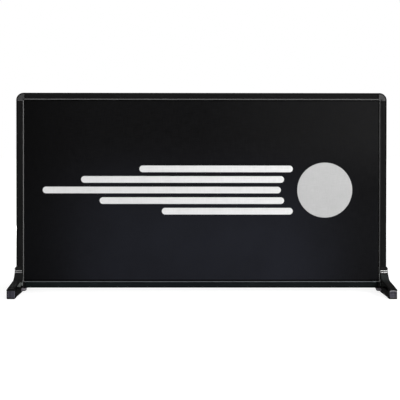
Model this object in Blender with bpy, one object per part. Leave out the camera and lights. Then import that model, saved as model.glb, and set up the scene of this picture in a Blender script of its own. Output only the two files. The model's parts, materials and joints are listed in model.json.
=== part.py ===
"""Table tennis barrier: a free-standing surround panel for the side of a playing court.

Units are metres, +Z is up, X runs along the barrier and the front faces -Y.
The floor is Z = 0 and the origin is on it, under the middle of the barrier.

The frame is four extruded profiles joined by corner blocks. Each face carries a taut cloth,
whose edge is tucked into a groove beside a bead strip. A moulded foot with a front and a rear
arm is pushed onto the bottom of each post and pulls off downwards.
"""

import math

import bmesh
import bpy
from mathutils import Matrix, Vector

# Overall frame
FRAME_LENGTH = 1.400
FRAME_HEIGHT = 0.737
FRAME_LIFT = 0.018  # underside of the frame above the floor
GAP = 0.0003  # clearance between neighbouring pieces

# Frame profile: u runs inwards from the outer edge, v away from the middle plane
PROFILE_WIDTH = 0.0310
PROFILE_HALF = 0.0135
EDGE_RADIUS = 0.0038
LINE_POSITIONS = (0.0115, 0.0185)  # shallow lines along the face
LINE_WIDTH = 0.0014
LINE_DEPTH = 0.0005
GROOVE_START = 0.0220
GROOVE_END = 0.0280
GROOVE_FLOOR = 0.0055
INNER_WALL_TOP = 0.0111
SPIGOT_CHAMBER = (0.0022, 0.0203, 0.0113)  # from u, to u, half height
CORE_CHAMBER = (0.0220, 0.0290, 0.0040)
MEMBER_END = PROFILE_WIDTH + GAP  # the members start this far from the frame's corner

# Bead strips and cloths
BEAD_START = GROOVE_START + GAP
BEAD_END = 0.0266
BEAD_ROOT = 0.0070
BEAD_TOP = 0.0143
CLOTH_EDGE = BEAD_END + GAP  # distance of the cloth's turned edge from the frame's edge
CLOTH_FACE = 0.0122
CLOTH_THICKNESS = 0.0008
CLOTH_FLANGE_END = GROOVE_FLOOR + GAP

# Corner blocks
BLOCK_SIZE = PROFILE_WIDTH
BLOCK_HALF = 0.0138
BLOCK_RADIUS = 0.0280
BLOCK_EDGE_RADIUS = 0.0034
BLOCK_NOTCH = BEAD_END  # the inner corner is open from here for the corner of the cloth
SPIGOT_REACH = 0.060
SPIGOT_TAPER = 0.0015
SPIGOT_SLOTS = ((0.006, 0.018), (0.034, 0.052))
CORNER_SCREW_AT = 0.026  # from the end of the member
SCREW_HEAD = 0.0038
SCREW_HEAD_DEPTH = 0.0018
SCREW_SHANK = 0.0020
SCREW_LENGTH = 0.013
SCREW_SOCKET = 0.0013
SCREW_SOCKET_DEPTH = 0.0012
SCREW_SINK = 0.0001  # head below the face of the profile

# Centre brace
BRACE_WIDTH = 0.020
BRACE_DEPTH = 0.016
BRACE_WALL = 0.0015
PLUG_FLANGE = 0.002
PLUG_LENGTH = 0.022
PEG_RADIUS = 0.0032
PEG_LENGTH = 0.008

# Foot: x runs outwards from the outer face of the post, y forwards or back, z up from the floor
SLEEVE_OUT = 0.0065
SLEEVE_IN = -0.0205
SLEEVE_HALF = 0.0173
SLEEVE_TOP = 0.0975
SLEEVE_CORNER = 0.0025
SOCKET_HALF = BLOCK_HALF + GAP
BAND_BOTTOM = 0.0730
BAND_TOP = 0.0845
NECK_TOP = 0.0885
REBATE = 0.0018
SHELF = FRAME_LIFT - GAP
PAD_THICKNESS = 0.003
PAD_LENGTH = 0.040
PAD_MARGIN = 0.0006
PAD_CORNER = 0.003
ARM_IN = -0.0235
ARM_REACH = 0.193
ARM_ROOT = 0.0155
ARM_TOP_START = 0.0724
ARM_SHOULDER = 0.060
ARM_SHOULDER_TOP = 0.0503
ARM_TIP_TOP = 0.038
ARM_EDGE_ROOT = 0.004  # rounding of an arm's top edges at the sleeve and at the tip
ARM_EDGE_TIP = 0.0055
ARM_WALL = 0.003
RIM = 0.004
POCKET_FLOOR = 0.026
POCKET_ROOF = 0.0455
POCKETS = ((0.0176, 0.038), (0.046, 0.166))  # along the arm, open to the inner side
SLEEVE_CELL = (-0.012, 0.012)  # hollow under the shelf, across the middle plane
ARM_CELLS = ((0.022, 0.055), (0.058, 0.100), (0.103, 0.146))  # hollows under an arm
TONGUE_REACH = -0.037
TONGUE_HALF = 0.0135
TONGUE_NOSE = 0.0095
TONGUE_BOTTOM = 0.0057
CAP_DEPTH = 0.010
CAP_INSET = 0.0006
CAP_FACE_DEPTH = 0.0025
CAP_WIDTH = 0.0292
CAP_BOTTOM = 0.0052
CAP_TOP = 0.0322
CAP_RISE = 0.0030  # of the arched top, from its ends to its middle
CAP_PLUG = 0.76  # size of the plug as a share of the cap's face
LOCK_SCREW_HEIGHT = 0.056
LOCK_SCREW_RADIUS = 0.0025


def material(name, colour, metallic, roughness):
    made = bpy.data.materials.new(name)
    made.use_nodes = True
    shader = made.node_tree.nodes["Principled BSDF"]
    shader.inputs["Base Color"].default_value = (*colour, 1.0)
    shader.inputs["Metallic"].default_value = metallic
    shader.inputs["Roughness"].default_value = roughness
    return made


def new_object(name, shape, finish=None):
    """Turns a bmesh into an object, facing out, with smooth round stretches."""
    bmesh.ops.recalc_face_normals(shape, faces=shape.faces[:])
    mesh = bpy.data.meshes.new(name)
    shape.to_mesh(mesh)
    shape.free()
    mesh.shade_smooth()
    mesh.set_sharp_from_angle(angle=math.radians(35))
    made = bpy.data.objects.new(name, mesh)
    bpy.context.scene.collection.objects.link(made)
    if finish:
        mesh.materials.append(finish)
    return made


def loft(rings):
    """A closed solid through rings of equal length, capped at both ends."""
    shape = bmesh.new()
    rows = [[shape.verts.new(point) for point in ring] for ring in rings]
    for lower, upper in zip(rows, rows[1:]):
        for index in range(len(lower)):
            after = (index + 1) % len(lower)
            shape.faces.new((lower[index], lower[after], upper[after], upper[index]))
    shape.faces.new(rows[0][::-1])
    shape.faces.new(rows[-1])
    return shape


def box(x_range, y_range, z_range):
    (x0, x1), (y0, y1), (z0, z1) = x_range, y_range, z_range
    corners = ((x0, y0), (x1, y0), (x1, y1), (x0, y1))
    return loft([[(x, y, z) for x, y in corners] for z in (z0, z1)])


def arc(centre, radius, start, end, steps):
    """Points on a circle in the plane, angles in degrees, both ends included."""
    angles = [math.radians(start + (end - start) * step / steps) for step in range(steps + 1)]
    return [(centre[0] + radius * math.cos(a), centre[1] + radius * math.sin(a)) for a in angles]


def turned(profile, steps=20, hexagonal=0):
    """A solid of revolution about Z. The first and last points lie on the axis.

    If hexagonal is set, the ring at that index of the profile and the next one are six-sided.
    """
    shape = bmesh.new()
    ends = [shape.verts.new((0, 0, profile[index][1])) for index in (0, -1)]
    rows = []
    for index, (radius, height) in enumerate(profile[1:-1], start=1):
        row = []
        for step in range(steps):
            angle = 2 * math.pi * step / steps
            reach = radius
            if hexagonal and index in (hexagonal, hexagonal + 1):
                reach = radius / math.cos((angle % (math.pi / 3)) - math.pi / 6)
            row.append(shape.verts.new((reach * math.cos(angle), reach * math.sin(angle), height)))
        rows.append(row)
    for lower, upper in zip(rows, rows[1:]):
        for step in range(steps):
            after = (step + 1) % steps
            shape.faces.new((lower[step], lower[after], upper[after], upper[step]))
    for end, row in zip(ends, (rows[0], rows[-1])):
        for step in range(steps):
            shape.faces.new((end, row[step], row[(step + 1) % steps]))
    return shape


def combine(base, operation, shapes):
    """Unites the base object with each shape or cuts each out of it, then keeps the result."""
    for shape in shapes:
        tool = shape if isinstance(shape, bpy.types.Object) else new_object("tool", shape)
        step = base.modifiers.new(operation.title(), "BOOLEAN")
        step.operation = operation
        step.solver = "EXACT"
        step.object = tool
        graph = bpy.context.evaluated_depsgraph_get()
        result = bpy.data.meshes.new_from_object(base.evaluated_get(graph))
        base.modifiers.clear()
        base.data = result
        bpy.data.objects.remove(tool)
    base.data.name = base.name
    base.data.shade_smooth()
    base.data.set_sharp_from_angle(angle=math.radians(35))
    return base


def moved(shape, matrix):
    bmesh.ops.transform(shape, matrix=matrix, verts=shape.verts[:])
    return shape


def frame_axes(origin, inward, along):
    """A matrix whose x runs inwards from the frame's edge, y to the rear and z along the member."""
    inward, along = Vector(inward), Vector(along)
    across = along.cross(inward)
    rotation = Matrix((inward, across, along)).transposed().to_4x4()
    return Matrix.Translation(origin) @ rotation


def frame_sides():
    """Each side of the frame: its name, its axes from its corner, and its full length."""
    half = FRAME_LENGTH / 2
    top = FRAME_LIFT + FRAME_HEIGHT
    return (
        ("top", frame_axes((-half, 0, top), (0, 0, -1), (1, 0, 0)), FRAME_LENGTH),
        ("bottom", frame_axes((half, 0, FRAME_LIFT), (0, 0, 1), (-1, 0, 0)), FRAME_LENGTH),
        ("left", frame_axes((-half, 0, FRAME_LIFT), (1, 0, 0), (0, 0, 1)), FRAME_HEIGHT),
        ("right", frame_axes((half, 0, top), (-1, 0, 0), (0, 0, -1)), FRAME_HEIGHT),
    )


def mirrored_outline(upper):
    """Closes an outline given for v > 0 with its mirror image in v < 0."""
    return upper + [(u, -v) for u, v in reversed(upper)]


def profile_outline():
    upper = arc((EDGE_RADIUS, PROFILE_HALF - EDGE_RADIUS), EDGE_RADIUS, 180, 90, 5)
    for line in LINE_POSITIONS:
        for shift, depth in ((-0.5, 0), (-0.2, LINE_DEPTH), (0.2, LINE_DEPTH), (0.5, 0)):
            upper.append((line + shift * LINE_WIDTH, PROFILE_HALF - depth))
    upper += [
        (GROOVE_START, PROFILE_HALF),
        (GROOVE_START, GROOVE_FLOOR),
        (GROOVE_END, GROOVE_FLOOR),
        (GROOVE_END, INNER_WALL_TOP),
        (PROFILE_WIDTH, INNER_WALL_TOP),
    ]
    return mirrored_outline(upper)


def corner_screw_shape():
    """Countersunk screw with a hexagonal socket, its head at Z = 0 and its tip pointing up."""
    profile = [
        (0, SCREW_SOCKET_DEPTH),
        (SCREW_SOCKET, SCREW_SOCKET_DEPTH),
        (SCREW_SOCKET, 0),
        (SCREW_HEAD, 0),
        (SCREW_SHANK, SCREW_HEAD_DEPTH),
        (SCREW_SHANK, SCREW_LENGTH - 0.001),
        (SCREW_SHANK - 0.001, SCREW_LENGTH),
        (0, SCREW_LENGTH),
    ]
    return turned(profile, 24, hexagonal=1)


def screw_hole():
    """Countersunk hole for a corner screw, open below Z = 0 and running up past the screw's tip."""
    head, shank = SCREW_HEAD + GAP, SCREW_SHANK + GAP
    mouth, end = -0.003, SCREW_LENGTH + 0.001
    cone_end = SCREW_HEAD_DEPTH + GAP
    return turned([(0, mouth), (head, mouth), (head, GAP), (shank, cone_end), (shank, end), (0, end)])


def corner_screw_axes(distance):
    """Places a screw on a side's outer face, at this distance along it, pointing inwards."""
    return Matrix.Translation((0, 0, distance)) @ Matrix.Rotation(math.radians(90), 4, "Y")


def peg_hole(length):
    """Hole for a brace peg in the inner wall of a member, half way along it."""
    depths = (CORE_CHAMBER[1] - 0.001, PROFILE_WIDTH + 0.001)
    outline = arc((length / 2, 0), PEG_RADIUS + GAP, 0, 342, 19)
    return loft([[(u, y, z) for z, y in outline] for u in depths])


def frame_member(name, axes, length, braced, finish):
    outline = profile_outline()
    ends = (MEMBER_END, length - MEMBER_END)
    member = new_object(name, loft([[(u, v, z) for u, v in outline] for z in ends]), finish)
    cuts = []
    for start, end, half in (SPIGOT_CHAMBER, CORE_CHAMBER):
        cuts.append(box((start, end), (-half, half), (0, length)))
    for distance in (MEMBER_END + CORNER_SCREW_AT, length - MEMBER_END - CORNER_SCREW_AT):
        cuts.append(moved(screw_hole(), corner_screw_axes(distance)))
    if braced:
        cuts.append(peg_hole(length))
    combine(member, "DIFFERENCE", cuts)
    member.matrix_world = axes
    return member


def bead_strip(name, axes, length, side, finish):
    """Strip that holds the cloth in the groove; side is -1 on the front and 1 on the rear."""
    middle = (BEAD_START + BEAD_END) / 2
    half = (BEAD_END - BEAD_START) / 2
    crown = [(middle + half * c, BEAD_TOP - 0.0012 + 0.0012 * s) for c, s in arc((0, 0), 1, 0, 180, 8)]
    outline = [(BEAD_START + 0.0006, BEAD_ROOT), (BEAD_END - 0.0006, BEAD_ROOT)] + crown
    ends = (MEMBER_END, length - MEMBER_END)
    strip = new_object(name, loft([[(u, side * v, z) for u, v in outline] for z in ends]), finish)
    strip.matrix_world = axes
    return strip


def block_ring(inset, v):
    """Outline of a corner block's head with its two outer sides and its corner set in."""
    curve = arc((BLOCK_RADIUS, BLOCK_RADIUS), BLOCK_RADIUS - inset, 180, 270, 14)
    outline = [(inset, BLOCK_SIZE)] + curve + [(BLOCK_SIZE, inset), (BLOCK_SIZE, BLOCK_SIZE)]
    return [(x, v, z) for x, z in outline]


def spigot():
    """One arm of a corner block along +X, its outer face at z = u of the spigot chamber."""
    low, high, half = SPIGOT_CHAMBER
    low, high, half = low + GAP, high - GAP, half - GAP
    root, tip = BLOCK_SIZE - 0.004, BLOCK_SIZE + SPIGOT_REACH
    rings = []
    for x, inset in ((root, 0), (tip - 0.004, 0), (tip, SPIGOT_TAPER)):
        z0, z1, y = low + inset, high - inset, half - inset
        rings.append([(x, -y, z0), (x, y, z0), (x, y, z1), (x, -y, z1)])
    return loft(rings)


def corner_block(name, finish):
    """Head in the corner square with one arm along +X and one along +Z of its own axes."""
    lower = [
        (BLOCK_EDGE_RADIUS + x, -BLOCK_HALF + BLOCK_EDGE_RADIUS + y)
        for x, y in arc((0, 0), BLOCK_EDGE_RADIUS, 270, 180, 6)
    ]
    upper = [(inset, -v) for inset, v in reversed(lower)]
    head = new_object(name, loft([block_ring(inset, v) for inset, v in lower + upper]), finish)
    lip = [
        (BEAD_START, BLOCK_SIZE),
        (BEAD_START, BEAD_START),
        (BLOCK_SIZE, BEAD_START),
        (BLOCK_SIZE, BEAD_END),
        (BEAD_END, BEAD_END),
        (BEAD_END, BLOCK_SIZE),
    ]
    lip_shape = loft([[(x, y, z) for x, z in lip] for y in (-BEAD_TOP, BEAD_TOP)])
    swap = Matrix(((0, 0, 1, 0), (0, 1, 0, 0), (1, 0, 0, 0), (0, 0, 0, 1)))
    combine(head, "UNION", [lip_shape, spigot(), moved(spigot(), swap)])
    notch = (BLOCK_NOTCH, BLOCK_SIZE + 0.001)
    cuts = [box(notch, (side * GROOVE_FLOOR, side * 0.020), notch) for side in (-1, 1)]
    low, high, _ = SPIGOT_CHAMBER
    for start, end in SPIGOT_SLOTS:
        slot = box((BLOCK_SIZE + start, BLOCK_SIZE + end), (-0.02, 0.02), (low + 0.0035, high - 0.0035))
        cuts += [slot, moved(slot.copy(), swap)]
    hole = moved(screw_hole(), Matrix.Translation((MEMBER_END + CORNER_SCREW_AT, 0, 0)))
    cuts += [hole, moved(hole.copy(), swap)]
    return combine(head, "DIFFERENCE", cuts)


def cloth(name, side, finish):
    """Taut cloth as a shallow tray whose turned edge stands in the groove."""
    half_x = FRAME_LENGTH / 2 - CLOTH_EDGE
    low = FRAME_LIFT + CLOTH_EDGE
    high = FRAME_LIFT + FRAME_HEIGHT - CLOTH_EDGE
    outer = box((-half_x, half_x), sorted((side * CLOTH_FLANGE_END, side * CLOTH_FACE)), (low, high))
    inner_y = sorted((side * (CLOTH_FLANGE_END - 0.001), side * (CLOTH_FACE - CLOTH_THICKNESS)))
    inner_x = half_x - CLOTH_THICKNESS
    inner = box((-inner_x, inner_x), inner_y, (low + CLOTH_THICKNESS, high - CLOTH_THICKNESS))
    return combine(new_object(name, outer, finish), "DIFFERENCE", [inner])


def brace_box(inset, low, high):
    """A box on the brace's axis, this far inside the outside of the brace."""
    half_x, half_y = BRACE_WIDTH / 2 - inset, BRACE_DEPTH / 2 - inset
    return box((-half_x, half_x), (-half_y, half_y), (low, high))


def brace_tube(name, low, high, finish):
    tube = new_object(name, brace_box(0, low, high), finish)
    return combine(tube, "DIFFERENCE", [brace_box(BRACE_WALL, low - 0.01, high + 0.01)])


def brace_plug(name, finish):
    """Plug of the brace, its flange on the rail at z = 0, its stem up into the tube."""
    stem = brace_box(BRACE_WALL + GAP, PLUG_FLANGE / 2, PLUG_LENGTH)
    bevel = 0.001
    profile = [
        (0, bevel),
        (PEG_RADIUS, bevel),
        (PEG_RADIUS, bevel - PEG_LENGTH),
        (PEG_RADIUS - bevel, -PEG_LENGTH),
        (0, -PEG_LENGTH),
    ]
    flange = new_object(name, brace_box(0, GAP, PLUG_FLANGE), finish)
    return combine(flange, "UNION", [stem, turned(profile)])


def sleeve_ring(z, inset_out, inset_face):
    """Plan outline of the sleeve at one height, with its faces set in."""
    out, half = SLEEVE_OUT - inset_out, SLEEVE_HALF - inset_face
    centre_x, centre_y = out - SLEEVE_CORNER, half - SLEEVE_CORNER
    near = arc((centre_x, -centre_y), SLEEVE_CORNER, -90, 0, 4)
    far = arc((centre_x, centre_y), SLEEVE_CORNER, 0, 90, 4)
    return [(x, y, z) for x, y in [(SLEEVE_IN, -half)] + near + far + [(SLEEVE_IN, half)]]


def sleeve_body():
    step = 0.0002
    rise = SLEEVE_TOP - NECK_TOP
    levels = (
        (PAD_THICKNESS, 0, 0),
        (BAND_BOTTOM - GAP - step, 0, 0),
        (BAND_BOTTOM - GAP, REBATE, REBATE),
        (NECK_TOP, REBATE, REBATE),
        (NECK_TOP + step, 0, 0),
        (NECK_TOP + rise / 4, 0.0006, 0.0003),
        (NECK_TOP + rise / 2, 0.0020, 0.0010),
        (SLEEVE_TOP, 0.0046, 0.0022),
    )
    return loft([sleeve_ring(z, inset_out, inset_face) for z, inset_out, inset_face in levels])


def bezier(points, t):
    """A point on the cubic curve through four control points."""
    a, b, c, d = (Vector(point) for point in points)
    return a * (1 - t) ** 3 + b * 3 * t * (1 - t) ** 2 + c * 3 * t**2 * (1 - t) + d * t**3


def arm_line():
    """Stations along an arm: distance from the middle plane and height of its top."""
    root, shoulder = (SLEEVE_HALF, ARM_TOP_START), (ARM_SHOULDER, ARM_SHOULDER_TOP)
    curve = (root, (0.024, 0.0675), (0.030, 0.0535), shoulder)
    stations = [(ARM_ROOT, ARM_TOP_START)]
    stations += [tuple(bezier(curve, step / 8)) for step in range(9)]
    for y in (0.090, 0.120, 0.150, 0.176, ARM_REACH - 0.001, ARM_REACH):
        share = (y - ARM_SHOULDER) / (ARM_REACH - ARM_SHOULDER)
        stations.append((y, ARM_SHOULDER_TOP + share * (ARM_TIP_TOP - ARM_SHOULDER_TOP)))
    return stations


def arm_section(y, top, side, inset=0.0):
    """Cross-section of an arm: flat sides, and top corners that grow rounder towards the tip."""
    share = max(0.0, (y - ARM_SHOULDER) / (ARM_REACH - ARM_SHOULDER))
    radius = ARM_EDGE_ROOT + (ARM_EDGE_TIP - ARM_EDGE_ROOT) * share
    low, left, right, high = PAD_THICKNESS + inset, ARM_IN + inset, SLEEVE_OUT - inset, top - inset
    outline = [(left, low), (right, low)]
    outline += arc((right - radius, high - radius), radius, 0, 90, 5)
    outline += arc((left + radius, high - radius), radius, 90, 180, 5)
    return [(x, side * y, z) for x, z in outline]


def arm(side):
    stations = arm_line()
    rings = [arm_section(y, top, side) for y, top in stations[:-1]]
    rings.append(arm_section(*stations[-1], side, inset=0.0008))
    return loft(rings)


def top_at(y):
    """Height of the arm's top at this distance from the middle plane."""
    stations = arm_line()
    for (y0, top0), (y1, top1) in zip(stations[1:], stations[2:]):
        if y0 <= y <= y1:
            return top0 + (top1 - top0) * (y - y0) / (y1 - y0)
    return stations[-1][1]


def arm_pocket(start, end, side):
    """Pocket in an arm's inner side, whose roof follows the arm's top one rim below it."""
    steps = 6
    mouth, back = ARM_IN - 0.002, SLEEVE_OUT - ARM_WALL
    rings = []
    for step in range(steps + 1):
        y = start + (end - start) * step / steps
        roof = min(top_at(y) - RIM, POCKET_ROOF)
        ring = ((mouth, POCKET_FLOOR), (back, POCKET_FLOOR), (back, roof), (mouth, roof))
        rings.append([(x, side * y, z) for x, z in ring])
    return loft(rings)


def cap_arch(x):
    """Height of a cap's top at this distance from the cap's centre line."""
    return CAP_TOP - CAP_RISE * (2 * x / CAP_WIDTH) ** 2


def cap_outline(share, grow=0.0):
    """Front view of an end cap about its own centre line: a flat foot and an arched top."""
    half, centre, half_height = CAP_WIDTH / 2, (CAP_BOTTOM + CAP_TOP) / 2, (CAP_TOP - CAP_BOTTOM) / 2
    outline = [(-half, CAP_BOTTOM), (half, CAP_BOTTOM)]
    outline += [(half * step / 4, cap_arch(half * step / 4)) for step in range(4, -5, -1)]
    wider, taller = share + grow / half, share + grow / half_height
    return [(x * wider, centre + (z - centre) * taller) for x, z in outline]


def arm_centre():
    return (ARM_IN + SLEEVE_OUT) / 2


def cap_recesses(side):
    """The hole for a cap's plug, and the room for its face, open to both sides of the arm."""
    front = ARM_REACH - CAP_INSET
    beyond = CAP_WIDTH / 2 + 0.002
    room = [(-beyond, CAP_BOTTOM - GAP), (beyond, CAP_BOTTOM - GAP)]
    room += [(beyond * step / 4, cap_arch(beyond * step / 4) + GAP) for step in range(4, -5, -1)]
    solids = []
    for outline, depth in ((cap_outline(CAP_PLUG, GAP), CAP_DEPTH), (room, CAP_FACE_DEPTH)):
        outline = [(arm_centre() + x, z) for x, z in outline]
        ends = (front + 0.005, front - depth - GAP)
        solids.append(loft([[(x, side * y, z) for x, z in outline] for y in ends]))
    return solids


def tongue():
    """Tongue that carries the end of the bottom rail, round at its inner end."""
    root = SLEEVE_IN + 0.010
    rings = []
    for rise, inset in ((0, 0.004), (0.0012, 0.0016), (0.004, 0), (SHELF - TONGUE_BOTTOM, 0)):
        centre_x, centre_y = TONGUE_REACH + inset + TONGUE_NOSE, TONGUE_HALF - TONGUE_NOSE
        near = arc((centre_x, -centre_y), TONGUE_NOSE, 270, 180, 5)
        far = arc((centre_x, centre_y), TONGUE_NOSE, 180, 90, 5)
        plan = [(root, -TONGUE_HALF)] + near + far + [(root, TONGUE_HALF)]
        rings.append([(x, y, TONGUE_BOTTOM + rise) for x, y in plan])
    return loft(rings)


def foot_body(name, finish):
    body = new_object(name, sleeve_body(), finish)
    combine(body, "UNION", [arm(-1), arm(1), tongue()])
    outer_wall = SLEEVE_OUT - ARM_WALL
    cuts = [
        box((-0.060, GAP), (-SOCKET_HALF, SOCKET_HALF), (SHELF, SLEEVE_TOP + 0.01)),
        box((SLEEVE_IN + ARM_WALL, outer_wall), SLEEVE_CELL, (0, SHELF - ARM_WALL)),
    ]
    for side in (-1, 1):
        cuts += [arm_pocket(start, end, side) for start, end in POCKETS]
        cuts += cap_recesses(side)
        for start, end in ARM_CELLS:
            cell = sorted((side * start, side * end))
            cuts.append(box((ARM_IN + ARM_WALL, outer_wall), cell, (0, POCKET_FLOOR - ARM_WALL)))
    radius = LOCK_SCREW_RADIUS + GAP
    lock_hole = turned([(0, -0.02), (radius, -0.02), (radius, 0.02), (0, 0.02)])
    cuts.append(moved(lock_hole, lock_screw_axes()))
    return combine(body, "DIFFERENCE", cuts)


def band_ring(z, outer, inner):
    """Plan outline of the steel band at one height; both values are insets from the sleeve's face."""
    hook = SLEEVE_IN - 0.0015
    wall_edge = SLEEVE_IN - GAP
    hook_depth = SOCKET_HALF + 0.0006

    def path(inset):
        out, half, radius = SLEEVE_OUT - inset, SLEEVE_HALF - inset, SLEEVE_CORNER - inset + REBATE
        near = arc((out - radius, -half + radius), radius, -90, 0, 4)
        far = arc((out - radius, half - radius), radius, 0, 90, 4)
        return half, near + far

    outer_half, outer_path = path(outer)
    inner_half, inner_path = path(inner)
    points = [(hook, -hook_depth), (hook, -outer_half)] + outer_path
    points += [(hook, outer_half), (hook, hook_depth)]
    points += [(wall_edge, hook_depth), (wall_edge, inner_half)] + inner_path[::-1]
    points += [(wall_edge, -inner_half), (wall_edge, -hook_depth)]
    return [(x, y, z) for x, y in points]


def steel_band(name, finish):
    """Steel band with two raised beads, whose ends hook round the edges of the sleeve's walls."""
    inner = REBATE - GAP
    hollow = 0.0007  # depth of the band's flat below the crowns of its beads
    radius = (BAND_TOP - BAND_BOTTOM) / 6
    rings = []
    for centre in (BAND_BOTTOM + radius, BAND_TOP - radius):
        for x, y in arc((0, 0), 1, 180, 0, 6):
            rings.append(band_ring(centre + radius * x, hollow * (1 - y), inner))
    return new_object(name, loft(rings), finish)


def end_cap(name, finish):
    """Cap over the end of an arm, facing +Y: a plug, and a face with a raised arched rim."""
    front = ARM_REACH - CAP_INSET
    levels = (
        (CAP_PLUG, -CAP_DEPTH),
        (CAP_PLUG, -CAP_FACE_DEPTH),
        (1.0, -CAP_FACE_DEPTH),
        (1.0, -0.0009),
        (0.985, -0.0003),
        (0.955, 0),
        (0.74, 0),
        (0.70, -0.0009),
        (0.42, -0.0011),
        (0.36, -0.0005),
    )
    rings = [[(x, front + step, z) for x, z in cap_outline(share)] for share, step in levels]
    return new_object(name, loft(rings), finish)


def rubber_pad(name, finish):
    """Pad under the tip of an arm, flat on the floor."""
    right = (SLEEVE_OUT - ARM_IN) / 2 - PAD_MARGIN - PAD_CORNER
    near, far = ARM_REACH - PAD_LENGTH + PAD_CORNER, ARM_REACH - PAD_MARGIN - PAD_CORNER
    centres = ((right, near), (right, far), (-right, far), (-right, near))
    rings = []
    for z, inset in ((0, 0.0008), (0.0008, 0), (PAD_THICKNESS - GAP, 0)):
        ring = []
        for turn, centre in enumerate(centres):
            ring += arc(centre, PAD_CORNER - inset, 90 * turn - 90, 90 * turn, 3)
        rings.append([(x, y, z) for x, y in ring])
    return new_object(name, loft(rings), finish)


def lock_screw_axes():
    """Places a screw in the sleeve's outer wall, just below its face and pointing inwards."""
    place = Matrix.Translation((SLEEVE_OUT - SCREW_SINK, 0, LOCK_SCREW_HEIGHT))
    return place @ Matrix.Rotation(math.radians(-90), 4, "Y")


def lock_screw(name, finish):
    """Set screw through the sleeve's outer wall; its socket is flush with the foot's side."""
    length = SLEEVE_OUT - GAP - SCREW_SINK
    socket, socket_depth, bevel = 0.0012, 0.0018, 0.0008
    profile = [
        (0, socket_depth),
        (socket, socket_depth),
        (socket, 0),
        (LOCK_SCREW_RADIUS, 0),
        (LOCK_SCREW_RADIUS, length - bevel),
        (LOCK_SCREW_RADIUS - bevel, length),
        (0, length),
    ]
    screw = new_object(name, turned(profile, 24, hexagonal=1), finish)
    screw.matrix_local = lock_screw_axes()
    return screw


def build_frame(finishes):
    for side, axes, length in frame_sides():
        is_rail = side in ("top", "bottom")
        name = f"{side}_rail" if is_rail else f"{side}_post"
        frame_member(name, axes, length, is_rail, finishes["aluminium"])
        bead_strip(f"front_bead_{side}", axes, length, -1, finishes["bead"])
        bead_strip(f"rear_bead_{side}", axes, length, 1, finishes["bead"])
    for name, side in (("front_cloth", -1), ("rear_cloth", 1)):
        cloth(name, side, finishes["cloth"])


def build_corners(finishes):
    half = FRAME_LENGTH / 2
    top = FRAME_LIFT + FRAME_HEIGHT
    corners = (
        ("bottom_left", (-half, FRAME_LIFT), 0),
        ("top_left", (-half, top), 90),
        ("top_right", (half, top), 180),
        ("bottom_right", (half, FRAME_LIFT), 270),
    )
    screw_at = MEMBER_END + CORNER_SCREW_AT
    sink = Matrix.Translation((0, 0, SCREW_SINK))
    on_first_arm = Matrix.Translation((screw_at, 0, 0)) @ sink
    on_second_arm = corner_screw_axes(screw_at) @ sink
    for name, (x, z), turn in corners:
        axes = Matrix.Translation((x, 0, z)) @ Matrix.Rotation(math.radians(turn), 4, "Y")
        finish = finishes["plastic" if name.startswith("bottom") else "block"]
        corner_block(f"corner_block_{name}", finish).matrix_world = axes
        members = ("rail", "post") if turn in (0, 180) else ("post", "rail")
        for member, place in zip(members, (on_first_arm, on_second_arm)):
            screw = new_object(f"corner_screw_{name}_{member}", corner_screw_shape(), finishes["screw"])
            screw.matrix_world = axes @ place


def build_brace(finishes):
    low = FRAME_LIFT + PROFILE_WIDTH
    high = FRAME_LIFT + FRAME_HEIGHT - PROFILE_WIDTH
    brace_tube("centre_brace", low + PLUG_FLANGE + GAP, high - PLUG_FLANGE - GAP, finishes["brace"])
    for end, height, turn in (("bottom", low, 0), ("top", high, math.pi)):
        plug = brace_plug(f"brace_plug_{end}", finishes["plastic"])
        plug.location = (0, 0, height)
        plug.rotation_euler = (turn, 0, 0)


def build_foot(side, sign, finishes):
    """One foot under an empty at the bottom of its post; the left one is the right one mirrored."""
    slide = bpy.data.objects.new(f"{side}_foot_slide", None)
    slide.location = (sign * FRAME_LENGTH / 2, 0, 0)
    slide.scale = (sign, 1, 1)
    bpy.context.scene.collection.objects.link(slide)
    pieces = [
        foot_body(f"{side}_foot_body", finishes["plastic"]),
        steel_band(f"{side}_foot_band", finishes["steel"]),
        lock_screw(f"{side}_foot_lock_screw", finishes["screw"]),
    ]
    for end, turn in (("rear", 0), ("front", math.pi)):
        cap = end_cap(f"{side}_foot_{end}_cap", finishes["cap"])
        pad = rubber_pad(f"{side}_foot_{end}_pad", finishes["rubber"])
        for piece in (cap, pad):
            piece.location = (arm_centre(), 0, 0)
            piece.rotation_euler = (0, 0, turn)
            pieces.append(piece)
    for piece in pieces:
        piece.parent = slide


def main():
    for old in list(bpy.data.objects):
        bpy.data.objects.remove(old)
    finishes = {
        "aluminium": material("black_anodised_aluminium", (0.012, 0.012, 0.013), 0.6, 0.42),
        "bead": material("grey_bead_strip", (0.12, 0.12, 0.12), 0.0, 0.45),
        "block": material("grey_moulded_corner", (0.06, 0.06, 0.06), 0.0, 0.6),
        "cloth": material("black_cloth", (0.009, 0.009, 0.010), 0.0, 0.7),
        "brace": material("bare_aluminium", (0.55, 0.56, 0.57), 1.0, 0.4),
        "plastic": material("black_moulded_plastic", (0.012, 0.012, 0.012), 0.0, 0.45),
        "steel": material("polished_steel", (0.62, 0.62, 0.62), 1.0, 0.25),
        "screw": material("zinc_plated_steel", (0.45, 0.45, 0.44), 1.0, 0.35),
        "cap": material("grey_moulded_cap", (0.055, 0.052, 0.065), 0.0, 0.5),
        "rubber": material("black_rubber", (0.010, 0.010, 0.010), 0.0, 0.8),
    }
    build_frame(finishes)
    build_corners(finishes)
    build_brace(finishes)
    build_foot("right", 1, finishes)
    build_foot("left", -1, finishes)


main()
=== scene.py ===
import json
import math

import bmesh
import bpy
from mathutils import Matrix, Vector, noise


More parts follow.
